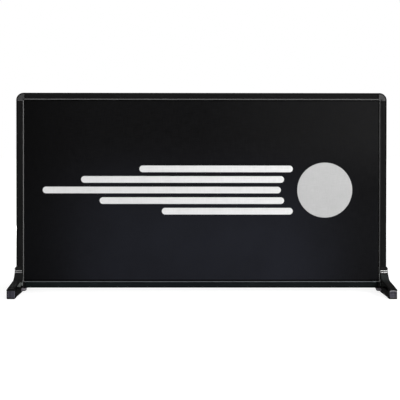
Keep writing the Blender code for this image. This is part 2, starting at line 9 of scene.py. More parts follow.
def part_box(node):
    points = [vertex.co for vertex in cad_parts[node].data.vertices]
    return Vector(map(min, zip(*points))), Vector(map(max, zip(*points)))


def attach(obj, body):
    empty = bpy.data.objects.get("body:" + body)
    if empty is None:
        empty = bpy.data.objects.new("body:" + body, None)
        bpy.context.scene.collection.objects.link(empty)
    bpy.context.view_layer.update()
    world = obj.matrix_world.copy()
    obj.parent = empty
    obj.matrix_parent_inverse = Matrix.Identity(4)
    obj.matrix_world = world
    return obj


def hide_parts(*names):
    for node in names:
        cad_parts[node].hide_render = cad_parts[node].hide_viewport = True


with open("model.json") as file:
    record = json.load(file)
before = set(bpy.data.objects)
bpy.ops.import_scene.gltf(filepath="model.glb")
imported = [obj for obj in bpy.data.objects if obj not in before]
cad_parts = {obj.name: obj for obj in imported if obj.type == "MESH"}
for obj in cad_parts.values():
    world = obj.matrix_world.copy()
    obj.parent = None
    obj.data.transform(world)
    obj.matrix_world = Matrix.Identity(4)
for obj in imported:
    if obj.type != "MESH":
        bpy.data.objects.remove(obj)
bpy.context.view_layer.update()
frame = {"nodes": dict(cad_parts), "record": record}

# Everything is in metres in the model's own frame: +Z up, the front of the barrier faces -Y.
# These places and widths are the CAD model's own.
FRAME_HALF = 0.700
FRAME_LOW = 0.018
FRAME_TOP = 0.755
MEMBER_START = 0.0313  # from the frame's outer edge to the end of a rail or post
LIP_HALF = 0.0139  # the lip of a corner block stands further out than this, in |Y|
BLOCK_RADIUS = 0.0280
CLOTH_EDGE = 0.0269  # from the frame's outer edge to the cloth
CAP_RIM = 0.1924  # the raised rim of a cap, in |Y|
CAP_INNER = 0.6769  # the side of a cap that is nearer to the frame's middle, in |X|
TONGUE_TOP = 0.0177

# Factors that stretch a texture along a rail or along a post
ALONG_X = (0.02, 1.0, 1.0)
ALONG_Z = (1.0, 1.0, 0.02)

WHITE = (1.0, 1.0, 1.0, 1.0)


def grey(value):
    return (value, value, value, 1.0)


# Camera: a little left of the middle, turned by a few tenths of a degree, as the photograph's edges converge

CAMERA_PLACE = (-0.050, -4.0135, 0.539)
CAMERA_TURN = (89.350, -0.047, -0.338)
camera_data = bpy.data.cameras.new("camera")
camera_data.sensor_width = 36.0
camera_data.lens = 95.305
camera_data.shift_x = 0.01348
camera_data.shift_y = -0.09476
camera = bpy.data.objects.new("camera", camera_data)
camera.location = CAMERA_PLACE
camera.rotation_euler = [math.radians(angle) for angle in CAMERA_TURN]
bpy.context.scene.collection.objects.link(camera)
bpy.context.scene.camera = camera


# Finishes

SIDE_BLEND = 0.1  # up to this |X|, a value of the left half turns into that of the right half


class Finish:
    """A material under construction. Each method adds nodes and returns the socket with the result."""

    def __init__(self, name, fixed):
        self.material = bpy.data.materials.new(name)
        self.material.use_nodes = True
        self.tree = self.material.node_tree
        self.shader = self.tree.nodes["Principled BSDF"]
        for socket, value in fixed.items():
            self.put(self.shader.inputs[socket], value)

    def put(self, socket, value):
        if isinstance(value, bpy.types.NodeSocket):
            self.tree.links.new(value, socket)
        else:
            socket.default_value = value

    def add(self, kind, inputs, output=0, **settings):
        made = self.tree.nodes.new("ShaderNode" + kind)
        for key, value in settings.items():
            setattr(made, key, value)
        for key, value in inputs.items():
            self.put(made.inputs[key], value)
        return made.outputs[output]

    def math(self, operation, *values):
        return self.add("Math", dict(enumerate(values)), operation=operation)

    def product(self, first, *others):
        for value in others:
            first = self.math("MULTIPLY", first, value)
        return first

    def length(self, across, along):
        """Length of a line, from how far it goes across and along."""
        squares = self.math("ADD", self.product(across, across), self.product(along, along))
        return self.math("SQRT", squares)

    def place(self, stretch=None):
        """The point on the piece, in metres, with each axis multiplied by its own factor."""
        point = self.add("TexCoord", {}, "Object")
        if stretch is None:
            return point
        return self.scaled(point, stretch)

    def scaled(self, vector, factors):
        """A place or a colour, with each part multiplied by its own factor."""
        return self.add("VectorMath", {0: vector, 1: factors}, operation="MULTIPLY")

    def axis(self, letter):
        return self.add("SeparateXYZ", {0: self.place()}, letter)

    def size_of(self, letter):
        return self.math("ABSOLUTE", self.axis(letter))

    def noise(self, scale, detail=2.0, roughness=0.5, stretch=None):
        inputs = {"Vector": self.place(stretch), "Scale": scale, "Detail": detail, "Roughness": roughness}
        return self.add("TexNoise", inputs)

    def remap(self, value, low, high, to_low=0.0, to_high=1.0, smooth=False):
        inputs = {0: value, 1: low, 2: high, 3: to_low, 4: to_high}
        style = "SMOOTHSTEP" if smooth else "LINEAR"
        return self.add("MapRange", inputs, interpolation_type=style)

    def inside(self, value, low, high, blur=0.0004):
        """Share that is 1 where the value lies between two limits."""
        above = self.remap(value, low - blur, low + blur)
        below = self.remap(value, high - blur, high + blur, 1.0, 0.0)
        return self.product(above, below)

    def by_side(self, left, right):
        """A number that differs between the left and the right half of the barrier."""
        return self.remap(self.axis("X"), -SIDE_BLEND, SIDE_BLEND, left, right)

    def mix(self, share, first, second):
        made = self.tree.nodes.new("ShaderNodeMix")
        made.data_type = "RGBA"
        for index, value in ((0, share), (6, first), (7, second)):
            self.put(made.inputs[index], value)
        return made.outputs[2]

    def bump(self, height, distance, strength=1.0, under=None):
        inputs = {"Height": height, "Distance": distance, "Strength": strength}
        if under is not None:
            inputs["Normal"] = under
        return self.add("Bump", inputs)

    def rounded(self, radius):
        """Normals as if the piece's sharp edges were rounded to this radius."""
        return self.add("Bevel", {"Radius": radius}, samples=6)

    def edges(self, radius):
        """Share that is 1 along sharp edges and 0 on flat and gently curved stretches."""
        soft = self.rounded(radius)
        true = self.add("NewGeometry", {}, "True Normal")
        agree = self.add("VectorMath", {0: soft, 1: true}, "Value", operation="DOT_PRODUCT")
        return self.remap(agree, 0.80, 0.97, 1.0, 0.0)

    def edge_distances(self):
        """How far a point is inside the frame's nearer upright edge, and its nearer level edge."""
        side = self.math("SUBTRACT", FRAME_HALF, self.size_of("X"))
        middle = (FRAME_TOP + FRAME_LOW) / 2
        half = (FRAME_TOP - FRAME_LOW) / 2
        off_middle = self.math("ABSOLUTE", self.math("SUBTRACT", self.axis("Z"), middle))
        return side, self.math("SUBTRACT", half, off_middle)

    def rim_distance(self):
        """How far a point is inside the outline of the frame, whose corners are rounded."""
        past = [self.math("SUBTRACT", BLOCK_RADIUS, value) for value in self.edge_distances()]
        over = [self.math("MAXIMUM", value, 0.0) for value in past]
        deeper = self.math("MINIMUM", self.math("MAXIMUM", *past), 0.0)
        outside = self.math("ADD", self.length(*over), deeper)
        return self.math("SUBTRACT", BLOCK_RADIUS, outside)

    def corner_distance(self):
        """How far a point is from the nearest corner of the frame, along the side it is on."""
        return self.math("MAXIMUM", *self.edge_distances())

    def surface(self, **sockets):
        for key, value in sockets.items():
            self.put(self.shader.inputs[key.replace("_", " ").title()], value)
        return self.material


# Black anodised profiles

# Painted shade darkens a profile along its rounded outer edge, and at its ends beside the corner blocks. Each
# shade is full at the first distance from the frame's edge and gone at the second.
OUTER_SHADE = (0.0032, 0.0050)
JOINT_SHADE = (MEMBER_START + 0.0016, MEMBER_START + 0.0046)


def scratches(finish, scale, stretch, width=0.012):
    """Share of a surface covered by fine lines that run along the direction of the stretch."""
    lines = finish.noise(scale, 4.0, 0.6, stretch)
    near = finish.math("ABSOLUTE", finish.math("SUBTRACT", lines, 0.5))
    thin = finish.remap(near, 0.0, width, 1.0, 0.0)
    patches = finish.remap(finish.noise(9.0, 2.0), 0.45, 0.65)
    return finish.product(thin, patches)


def anodised(name, stretch, tint=None):
    """Black anodised extrusion: drawn lines and worn sharp edges, with painted shade along the outer edge and
    at the joints, and painted light towards the left.
    """
    finish = Finish(name, {"Specular IOR Level": 0.05})
    drawn = finish.noise(1400.0, 3.0, 0.65, stretch)
    streaks = finish.noise(160.0, 3.0, 0.6, stretch)
    cloudy = finish.noise(14.0, 3.0, 0.6)
    tone = finish.mix(cloudy, grey(0.0022), grey(0.0042))
    tone = finish.mix(finish.remap(streaks, 0.40, 0.70), tone, grey(0.0065))
    tone = finish.mix(finish.remap(drawn, 0.40, 0.75, 0.0, 0.5), tone, grey(0.0085))
    chipped = finish.product(finish.edges(0.0004), finish.remap(finish.noise(120.0, 4.0), 0.42, 0.62), 0.35)
    worn = finish.math("MAXIMUM", finish.product(scratches(finish, 260.0, stretch), 0.30), chipped)
    tone = finish.mix(worn, tone, grey(0.060))
    if tint is not None:
        tone = finish.scaled(tone, tint)
    # Painted light and shade: lighter towards the left and darker towards the right, against the lamp on the
    # right
    painted_light_tilt = finish.remap(finish.axis("X"), -FRAME_HALF, FRAME_HALF, 1.2, 0.8)
    tone = finish.scaled(tone, painted_light_tilt)
    # Painted shade along the rounded outer edge and at the ends beside the corner blocks
    outer = finish.remap(finish.rim_distance(), *OUTER_SHADE, 1.0, 0.0)
    joint = finish.remap(finish.corner_distance(), *JOINT_SHADE, 1.0, 0.0)
    shaded = finish.math("MAXIMUM", outer, joint)
    tone = finish.mix(shaded, tone, grey(0.0003))
    rough = finish.remap(finish.math("ADD", drawn, cloudy), 0.7, 1.3, 0.54, 0.66)
    rough = finish.math("ADD", rough, finish.product(shaded, 0.25))
    normal = finish.bump(drawn, 0.00012, 0.35, finish.rounded(0.0003))
    return finish.surface(base_color=tone, roughness=rough, normal=normal)


# Feet

# Heights at which a look is full and gone
SCUFFED_LOW = (0.004, 0.030)
ARM_SHADE = (0.040, 0.056)  # painted shade: the arms are darker than the sleeve
INNER_SIDE_TOP = (0.036, 0.046)

INNER_SIDE = (0.6768, 0.6772)  # the arms' sides that face the frame lie at a smaller |X|

# The pockets in the inner side of an arm: their limits on each axis, and their walls at the frame's end
POCKETS = (("X", (0.6766, 0.7037)), ("Y", (0.0170, 0.1666)), ("Z", (0.0258, 0.0457)))
FIRST_WALL = 0.0176
SECOND_WALL = 0.0460
WALL_BAND = 0.0006  # what lies this close to a wall's |Y| is on the wall
POCKET_LIGHT_STEP = (0.6780, 0.6785)  # in |X|: the first wall carries painted light on its inner side, the second one beyond it
POCKET_LIGHT_TOP = (0.0372, 0.0388)  # the painted light on the first wall ends at this height
# Tones of the painted light on the first wall and on the other walls
POCKET_LIGHT_FIRST = (0.660, 0.715, 0.690, 1.0)
POCKET_LIGHT_OTHER = (0.185, 0.198, 0.188, 1.0)

TONGUE_GLINT_START = (0.6775, 0.6785)  # in |X|: the tongue carries a painted glint from here towards the frame's middle
TONGUE_GLINT_WIDTH = (0.030, 0.042)  # in |Y|: full at the first and gone at the second, to stay off the arms
TONGUE_GLINT_LEVEL = (0.0085, TONGUE_TOP - 0.0009)
SLEEVE_LIGHT_LEVEL = (0.0500, 0.0715)


def end_wall(finish, place):
    """The end wall of a pocket, at a distance from the frame's middle plane."""
    return finish.inside(finish.size_of("Y"), place - WALL_BAND, place + WALL_BAND)


def pocket_painted_light(finish):
    """Painted light on the end walls of the pockets in a foot, with a little on their other walls, mostly on
    the left foot.
    """
    within = finish.product(*[finish.inside(finish.size_of(letter), *limits) for letter, limits in POCKETS])
    first = end_wall(finish, FIRST_WALL)
    second = end_wall(finish, SECOND_WALL)
    walls = finish.remap(finish.math("MAXIMUM", first, second), 0.0, 1.0, 0.03, 1.0)
    beyond = finish.remap(finish.size_of("X"), *POCKET_LIGHT_STEP)
    lit_side = finish.math("ABSOLUTE", finish.math("SUBTRACT", first, beyond))
    lit_side = finish.remap(lit_side, 0.0, 1.0, 0.05, 1.0)
    above = finish.product(first, finish.remap(finish.axis("Z"), *POCKET_LIGHT_TOP))
    below = finish.remap(above, 0.0, 1.0, 1.0, 0.1)
    patchy = finish.remap(finish.noise(70.0, 4.0, 0.7), 0.30, 0.60, 0.65, 1.0)
    return finish.product(within, walls, finish.by_side(1.0, 0.25), lit_side, below, patchy)


def painted_inner_shade(finish):
    """Painted shade on the sides of the arms that face the frame: darker there."""
    inner = finish.remap(finish.size_of("X"), *INNER_SIDE, 1.0, 0.0)
    return finish.product(inner, finish.remap(finish.axis("Z"), *INNER_SIDE_TOP, 0.95, 0.0))


def tongue_painted_glint(finish):
    """Painted glint on the tongue, below the bottom rail."""
    beyond = finish.remap(finish.size_of("X"), *TONGUE_GLINT_START, 1.0, 0.0)
    between = finish.remap(finish.size_of("Y"), *TONGUE_GLINT_WIDTH, 1.0, 0.0)
    level = finish.inside(finish.axis("Z"), *TONGUE_GLINT_LEVEL, 0.0010)
    glint_patches = finish.remap(finish.noise(110.0, 4.0, 0.7), 0.40, 0.58, 0.25, 0.9)
    return finish.product(beyond, between, level, glint_patches)


def sleeve_painted_light(finish):
    """Painted light: the sleeve is a little paler below its band, more on the right foot."""
    level = finish.inside(finish.axis("Z"), *SLEEVE_LIGHT_LEVEL, 0.0040)
    patchy = finish.remap(finish.noise(45.0, 3.0, 0.6), 0.30, 0.65, 0.45, 1.0)
    return finish.product(level, finish.by_side(0.10, 0.75), patchy)


def foot_finish():
    """Black moulded plastic: fine spark-eroded grain, a little cloudiness, worn edges and low scuffs, with
    painted shade on the arms and painted light in the pockets, on the tongue and on the sleeve.
    """
    finish = Finish("foot_black_moulding", {"Specular IOR Level": 0.02})
    cloudy = finish.noise(22.0, 4.0, 0.65)
    fine = finish.noise(420.0, 3.0, 0.7)
    share = finish.math("ADD", finish.product(cloudy, 0.5), finish.product(fine, 0.5))
    tone = finish.mix(finish.remap(share, 0.36, 0.66), grey(0.0072), grey(0.0165))
    low = finish.remap(finish.axis("Z"), *SCUFFED_LOW, 1.0, 0.0, smooth=True)
    scuffed = finish.product(finish.remap(finish.noise(150.0, 5.0, 0.75), 0.52, 0.72), low)
    chipped = finish.product(finish.edges(0.0005), finish.remap(finish.noise(140.0, 4.0), 0.42, 0.60), 0.7)
    worn = finish.product(finish.math("MAXIMUM", scuffed, chipped), 0.5)
    tone = finish.mix(worn, tone, (0.050, 0.047, 0.043, 1.0))
    # painted shade on the arms
    arm = finish.remap(finish.axis("Z"), *ARM_SHADE, 0.45, 0.0, smooth=True)
    tone = finish.mix(arm, tone, grey(0.0025))
    # painted shade on the arms' inner sides
    tone = finish.mix(painted_inner_shade(finish), tone, grey(0.0006))
    # painted light in the pockets
    pocket_light = finish.mix(end_wall(finish, FIRST_WALL), POCKET_LIGHT_OTHER, POCKET_LIGHT_FIRST)
    tone = finish.mix(pocket_painted_light(finish), tone, pocket_light)
    # painted glint on the tongue
    tone = finish.mix(tongue_painted_glint(finish), tone, (0.320, 0.295, 0.330, 1.0))
    # painted light on the sleeve below its band
    tone = finish.mix(sleeve_painted_light(finish), tone, (0.031, 0.036, 0.036, 1.0))
    rough = finish.math("ADD", finish.remap(cloudy, 0.3, 0.7, -0.05, 0.06), 0.84)
    pebbles = finish.noise(2200.0, 2.0, 0.5)
    normal = finish.bump(pebbles, 0.00010, 0.45, finish.rounded(0.0004))
    normal = finish.bump(cloudy, 0.0006, 0.10, normal)
    return finish.surface(base_color=tone, roughness=rough, normal=normal)


# End caps

ARCH_HEIGHT = (0.0250, 0.0275)  # painted highlight: the raised rim turns paler between these heights, where it becomes an arch
# painted shade under the arch of the right cap, between these heights
SHADE_UNDER_ARCH = (0.0205, 0.0238)
BROW_HEIGHT = (0.0280, 0.0300)  # painted shade: the left cap turns dark between these heights
BROW_SIDE = (0.7026, 0.7038)  # and between these |X|
INNER_EDGE = (CAP_INNER + 0.0021, CAP_INNER + 0.0033)  # in |X|: the inner edge carries painted light on the left cap and painted shade on the right one up to here
# tone of the painted shade on the caps
CAP_SHADE = grey(0.003)


def cap_finish():
    """Grey end cap: faint upright sink marks and a fine grain, with a painted highlight on the arch over its
    raised rim, and painted shade and light on its edges and under the arch.
    """
    finish = Finish("cap_grey_moulding", {"Specular IOR Level": 0.12})
    cloudy = finish.noise(40.0, 4.0, 0.65)
    marks = finish.noise(170.0, 3.0, 0.6, (1.0, 1.0, 0.06))
    height = finish.axis("Z")
    side = finish.size_of("X")
    share = finish.remap(cloudy, 0.35, 0.65)
    tone = finish.mix(share, (0.022, 0.021, 0.027, 1.0), (0.034, 0.032, 0.042, 1.0))
    tone = finish.mix(finish.remap(marks, 0.48, 0.64, 0.0, 0.6), tone, (0.062, 0.060, 0.080, 1.0))
    rim = finish.remap(finish.size_of("Y"), CAP_RIM - 0.0006, CAP_RIM - 0.0002)
    # painted highlight on the arch, mostly on the right cap
    high = finish.remap(height, *ARCH_HEIGHT, 0.20, 1.0)
    arch = finish.product(rim, high, finish.by_side(0.20, 1.0))
    tone = finish.mix(arch, tone, (0.185, 0.180, 0.196, 1.0))
    # painted shade under the arch, on the right cap
    under = finish.product(finish.inside(height, *SHADE_UNDER_ARCH, 0.0008), finish.by_side(0.0, 0.6))
    tone = finish.mix(under, tone, grey(0.006))
    # painted shade on the left cap's top and outer side
    brow = finish.math("MAXIMUM", finish.remap(height, *BROW_HEIGHT), finish.remap(side, *BROW_SIDE))
    tone = finish.mix(finish.product(brow, finish.by_side(0.9, 0.0)), tone, CAP_SHADE)
    # painted light on the left cap's inner edge, painted shade on the right cap's
    edge = finish.remap(side, *INNER_EDGE, 1.0, 0.0)
    tone = finish.mix(finish.product(edge, finish.by_side(0.75, 0.0)), tone, (0.100, 0.097, 0.125, 1.0))
    tone = finish.mix(finish.product(edge, finish.by_side(0.0, 0.95)), tone, CAP_SHADE)
    rough = finish.remap(cloudy, 0.3, 0.7, 0.66, 0.78)
    normal = finish.bump(finish.noise(2000.0, 2.0, 0.5), 0.0001, 0.45, finish.rounded(0.0006))
    return finish.surface(base_color=tone, roughness=rough, normal=normal)


# Bead strips

def bead_finish(side, tones, shown, stretch, foot_end=None, tint=(1.0, 1.0, 1.0)):
    """Grey strip in the groove: part of its width is dark with painted shade.

    tones are its darker and its lighter patches, and shown is the part outside the painted shade, from the
    frame's edge.
    foot_end is painted light on its end beside a foot, where the foot shades it: the axis, where the paler
    part starts and is full, and its tone.
    """
    finish = Finish(f"bead_grey_{side}", {"Specular IOR Level": 0.12})

    def tinted(value):
        return (*[value * part for part in tint], 1.0)

    tone = finish.mix(finish.noise(30.0, 3.0, 0.6, stretch), *[tinted(value) for value in tones])
    # painted light on the end beside a foot
    if foot_end is not None:
        letter, start, full, value = foot_end
        tone = finish.mix(finish.remap(finish.size_of(letter), start, full), tone, tinted(value))
    # painted shade over the part of the width outside the shown range
    tone = finish.mix(finish.inside(finish.rim_distance(), *shown, 0.0002), grey(0.006), tone)
    rough = finish.remap(finish.noise(300.0, 3.0, 0.6, stretch), 0.3, 0.7, 0.44, 0.60)
    normal = finish.bump(finish.noise(1200.0, 2.0, 0.5, stretch), 0.00008, 0.4)
    return finish.surface(base_color=tone, roughness=rough, normal=normal)


# Bare metal and rubber

BAND_BEADS = ((0.0757, 0.0775), (0.0820, 0.0843))  # stretches of the band's height that stay bright, on its two beads


def metal(name, tone_low, tone_high, rough_low, rough_high, stretch):
    """Bare metal, brushed in the direction of the stretch."""
    finish = Finish(name, {"Metallic": 1.0})
    brushed = finish.noise(1800.0, 3.0, 0.6, stretch)
    tone = finish.mix(finish.noise(40.0, 3.0, 0.6), tone_low, tone_high)
    rough = finish.remap(brushed, 0.3, 0.7, rough_low, rough_high)
    normal = finish.bump(brushed, 0.00006, 0.2)
    return finish.surface(base_color=tone, roughness=rough, normal=normal)


def band_finish():
    """Polished steel, brushed round the foot, dark in the groove between its two beads, with painted shade on
    the right foot's band.
    """
    finish = Finish("band_polished_steel", {"Metallic": 1.0})
    brushed = finish.noise(1500.0, 3.0, 0.6, (1.0, 1.0, 30.0))
    tone = finish.mix(finish.noise(60.0, 3.0, 0.6), grey(0.52), grey(0.60))
    on_beads = finish.math("MAXIMUM", *[finish.inside(finish.axis("Z"), *limits) for limits in BAND_BEADS])
    between_beads = finish.remap(on_beads, 0.0, 1.0, 0.95, 0.0)
    tone = finish.mix(between_beads, tone, (0.035, 0.034, 0.033, 1.0))
    # painted shade: the right foot's band is a little darker
    tone = finish.mix(finish.by_side(0.0, 0.16), tone, grey(0.020))
    rough = finish.remap(brushed, 0.3, 0.7, 0.24, 0.38)
    rough = finish.math("ADD", rough, finish.product(between_beads, 0.3))
    normal = finish.bump(brushed, 0.00005, 0.2)
    return finish.surface(base_color=tone, roughness=rough, normal=normal)


def rubber():
    """Ribbed rubber of the pads under the feet."""
    finish = Finish("floor_pad_rubber", {"Specular IOR Level": 0.2})
    cloudy = finish.noise(90.0, 4.0, 0.7)
    tone = finish.mix(cloudy, grey(0.006), grey(0.020))
    rough = finish.remap(cloudy, 0.3, 0.7, 0.72, 0.88)
    ribs = finish.math("SINE", finish.product(finish.axis("Y"), 2500.0))
    normal = finish.bump(ribs, 0.0002, 0.35)
    normal = finish.bump(finish.noise(1500.0), 0.0001, 0.5, normal)
    return finish.surface(base_color=tone, roughness=rough, normal=normal)


# Corner blocks

BLOCK_OUTER_SHADE = (0.0044, 0.0062)  # from the frame's edge: painted shade darkens a block's rounded rim up to here
BLOCK_JOINT_SHADE = (MEMBER_START - 0.0022, MEMBER_START - 0.0006)  # where its edge beside a member starts

# Plastics of the blocks: darker tone, lighter tone, and the tone of the painted shade on their rims, joints
# and spots
GREY_PLASTIC = (grey(0.028), grey(0.066), grey(0.003))
BLACK_PLASTIC = (grey(0.007), grey(0.016), grey(0.002))


def block_finish(name, plastic, lip, shade_spot=None, worn=None):
    """Corner block: painted shade on its rounded rim, at its joints and in a spot, and a lip that carries on
    the line of the bead strips.

    shade_spot is a spot of painted shade, as its distances from the frame's upright and level edges and its
    radius.
    worn is the tone of the block's edges beside the rail and the post, which carry painted shade without it.
    """
    dark, light, rim = plastic
    finish = Finish(name, {"Specular IOR Level": 0.12})
    cloudy = finish.noise(90.0, 4.0, 0.7)
    fine = finish.noise(600.0, 3.0, 0.7)
    share = finish.product(finish.math("ADD", cloudy, fine), 0.5)
    tone = finish.mix(finish.remap(share, 0.40, 0.60), dark, light)
    # painted shade at the joints
    joint = finish.remap(finish.corner_distance(), *BLOCK_JOINT_SHADE)
    tone = finish.mix(joint, tone, rim if worn is None else worn)
    # painted shade on the rounded rim
    tone = finish.mix(finish.remap(finish.rim_distance(), *BLOCK_OUTER_SHADE, 1.0, 0.0), tone, rim)
    raised = finish.remap(finish.size_of("Y"), LIP_HALF - 0.00005, LIP_HALF + 0.00005)
    tone = finish.mix(raised, tone, lip)
    # painted shade in a round spot
    if shade_spot is not None:
        *centre, radius = shade_spot
        offsets = [finish.math("SUBTRACT", *pair) for pair in zip(finish.edge_distances(), centre)]
        near = finish.remap(finish.length(*offsets), 0.6 * radius, radius, 0.9, 0.0)
        tone = finish.mix(near, tone, rim)
    rough = finish.remap(cloudy, 0.3, 0.7, 0.62, 0.76)
    normal = finish.bump(finish.noise(2200.0, 2.0, 0.5), 0.0001, 0.45, finish.rounded(0.0003))
    return finish.surface(base_color=tone, roughness=rough, normal=normal)


# Cloth and its print

# Plain stripes of different lengths behind a ball: left end, right end and height of each
STRIPES = (
    (-0.235, 0.345, 0.468),
    (-0.455, 0.312, 0.428),
    (-0.600, 0.300, 0.388),
    (-0.385, 0.312, 0.348),
    (-0.150, 0.345, 0.308),
)
STRIPE_HALF = 0.0125
BALL_CENTRE = (0.466, 0.388)
BALL_RADIUS = 0.104
PRINT_BLUR = 0.0004
PRINT_WOBBLE = 0.0012  # how far the print's edges follow the yarn

THREADS = 0.0011  # width of two threads side by side
TUCKED_SHADE = (CLOTH_EDGE + 0.0020, CLOTH_EDGE + 0.0055)  # painted shade: the cloth is dark where it goes down into the groove

# The cloth's pale upright hems carry painted light, brighter on the left: share on the left and the right,
# end from the frame's edge, and tone
HEM_LIGHTS = (((1.0, 0.0), 0.0284, grey(0.400)), ((0.0, 1.0), 0.0277, grey(0.160)))


def bar_distance(finish, centre, half_length, half_height):
    """How far a point of the cloth is outside a round-ended bar, negative inside it."""
    off_x = finish.math("ABSOLUTE", finish.math("SUBTRACT", finish.axis("X"), centre[0]))
    over_x = finish.math("MAXIMUM", finish.math("SUBTRACT", off_x, half_length - half_height), 0.0)
    off_z = finish.math("SUBTRACT", finish.axis("Z"), centre[1])
    return finish.math("SUBTRACT", finish.length(over_x, off_z), half_height)


def printed_tone(finish, tone, yarn):
    """The stripes and the ball over the cloth's own tone. The print lies on the threads."""
    stripes = []
    for left, right, height in STRIPES:
        stripes.append(bar_distance(finish, ((left + right) / 2, height), (right - left) / 2, STRIPE_HALF))
    nearest = stripes[0]
    for distance in stripes[1:]:
        nearest = finish.math("MINIMUM", nearest, distance)
    ball = bar_distance(finish, BALL_CENTRE, BALL_RADIUS, BALL_RADIUS)
    wobble = finish.product(finish.math("SUBTRACT", yarn, 0.5), PRINT_WOBBLE)
    patchy = finish.remap(yarn, 0.32, 0.55, 0.86, 1.0)
    stripe_ink = finish.mix(finish.noise(12.0, 3.0, 0.6), grey(0.66), grey(0.74))
    ball_ink = finish.mix(finish.noise(18.0, 3.0, 0.6), grey(0.42), grey(0.48))
    for distance, ink in ((nearest, stripe_ink), (ball, ball_ink)):
        share = finish.remap(finish.math("ADD", distance, wobble), -PRINT_BLUR, PRINT_BLUR, 1.0, 0.0)
        tone = finish.mix(finish.product(share, patchy), tone, ink)
    return tone


def cloth_finish(name, printed):
    """Black woven cloth, with painted sheen at the upper right, a painted reflection below the middle, and
    painted shade at the left.
    """
    finish = Finish(name, {"Specular IOR Level": 0.03})
    x = finish.axis("X")
    z = finish.axis("Z")
    over, under = [finish.math("SINE", finish.product(way, 2 * math.pi / THREADS)) for way in (x, z)]
    weave = finish.product(over, under)
    warp = finish.noise(900.0, 2.0, 0.6, (1.0, 1.0, 0.03))
    weft = finish.noise(900.0, 2.0, 0.6, (0.03, 1.0, 1.0))
    yarn = finish.product(finish.math("ADD", warp, weft), 0.5)
    share = finish.remap(yarn, 0.38, 0.62)
    tone = finish.mix(share, (0.0022, 0.0022, 0.0023, 1.0), (0.0062, 0.0062, 0.0066, 1.0))
    # painted sheen: paler towards the upper right
    upper = finish.product(finish.remap(x, 0.0, 0.62, 0.0, 0.6), finish.remap(z, 0.36, 0.60, smooth=True))
    tone = finish.mix(upper, tone, (0.0115, 0.0115, 0.0118, 1.0))
    # painted shade: darker towards the left
    tone = finish.mix(finish.remap(x, -0.69, -0.42, 0.7, 0.0), tone, grey(0.0012))
    # painted reflection: paler and bluer below the middle, towards the centre
    low = finish.remap(z, 0.16, 0.62, 1.0, 0.0, smooth=True)
    central_reflection = finish.remap(finish.math("ABSOLUTE", x), 0.28, 0.64, 1.0, 0.12, smooth=True)
    cloudy = finish.remap(finish.noise(3.0, 3.0, 0.55), 0.35, 0.65, 0.7, 1.0)
    tone = finish.mix(finish.product(low, central_reflection, cloudy), tone, (0.0128, 0.0138, 0.0186, 1.0))
    if printed:
        tone = printed_tone(finish, tone, yarn)
    # painted shade where the cloth goes down into the groove
    tucked_shade = finish.remap(finish.rim_distance(), *TUCKED_SHADE, 1.0, 0.0)
    tone = finish.mix(tucked_shade, tone, grey(0.0002))
    # painted light on the upright hems
    for shares, end, hem_light_tone in HEM_LIGHTS:
        hem_light = finish.inside(finish.edge_distances()[0], CLOTH_EDGE - 0.001, end, 0.0002)
        tone = finish.mix(finish.product(finish.by_side(*shares), hem_light), tone, hem_light_tone)
    rough = finish.remap(yarn, 0.35, 0.65, 0.80, 0.70)
    rough = finish.math("ADD", rough, finish.product(tucked_shade, 0.2))
    normal = finish.bump(weave, 0.00012, 0.5)
    normal = finish.bump(yarn, 0.0003, 0.35, normal)
    return finish.surface(base_color=tone, roughness=rough, normal=normal)


# Which finish goes on which node: one for each slot of the record, and others for some nodes

finishes = {
    "black_anodised_aluminium": anodised("rail_black_anodised", ALONG_X),
    # painted shade: the top strip has the darkest tones of the four sides
    "grey_bead_strip": bead_finish("top", (0.070, 0.090), (0.0220, 0.0266), ALONG_X),
    "grey_moulded_corner": block_finish(
        "corner_grey_moulding", GREY_PLASTIC, grey(0.055), shade_spot=(0.0205, 0.0275, 0.0048)
    ),
    "bare_aluminium": metal("brace_mill_aluminium", grey(0.50), grey(0.60), 0.30, 0.50, ALONG_Z),
    "black_moulded_plastic": foot_finish(),
    "polished_steel": band_finish(),
    "zinc_plated_steel": metal(
        "screw_zinc_steel", (0.42, 0.42, 0.40, 1.0), (0.52, 0.52, 0.50, 1.0), 0.28, 0.45, None
    ),
    "grey_moulded_cap": cap_finish(),
    "black_rubber": rubber(),
}
post_finish = anodised("post_black_anodised", ALONG_Z)
special = {
    "left_post": post_finish,
    "right_post": post_finish,
    "bottom_rail": anodised("rail_bottom_black_anodised", ALONG_X, tint=(0.85, 1.24, 1.30)),
    "corner_block_top_left": block_finish(
        "corner_grey_moulding_left", GREY_PLASTIC, grey(0.055), shade_spot=(0.0268, 0.0248, 0.0030), worn=grey(0.085)
    ),
    "corner_block_bottom_left": block_finish("corner_black_moulding", BLACK_PLASTIC, grey(0.110)),
    # painted light: the bottom right block's lip is paler, where the foot shades it
    "corner_block_bottom_right": block_finish("corner_black_moulding_right", BLACK_PLASTIC, grey(0.260)),
}
# Painted light and shade: each side's strip has its own tones, lightest on the left and darkest at the top
other_beads = {
    "bottom": bead_finish(
        "bottom", (0.155, 0.185), (0.0222, 0.0243), ALONG_X,
        foot_end=("X", 0.650, 0.662, 0.30), tint=(0.91, 1.0, 1.07),
    ),
    "left": bead_finish("left", (0.350, 0.420), (0.0264, 0.0272), ALONG_Z),
    "right": bead_finish(
        "right", (0.130, 0.160), (0.0258, 0.0272), ALONG_Z, foot_end=("Z", 0.078, 0.070, 0.42)
    ),
}
for face in ("front", "rear"):
    for side, finish in other_beads.items():
        special[f"{face}_bead_{side}"] = finish

for entry in frame["record"]["subparts"]:
    node = entry["node"]
    slot = entry["material_slot"]
    if slot in finishes:
        materials = frame["nodes"][node].data.materials
        materials.clear()
        materials.append(special.get(node, finishes[slot]))


# Cloths: a taut sheet over each face, rolled over at its edge and turned down into the groove

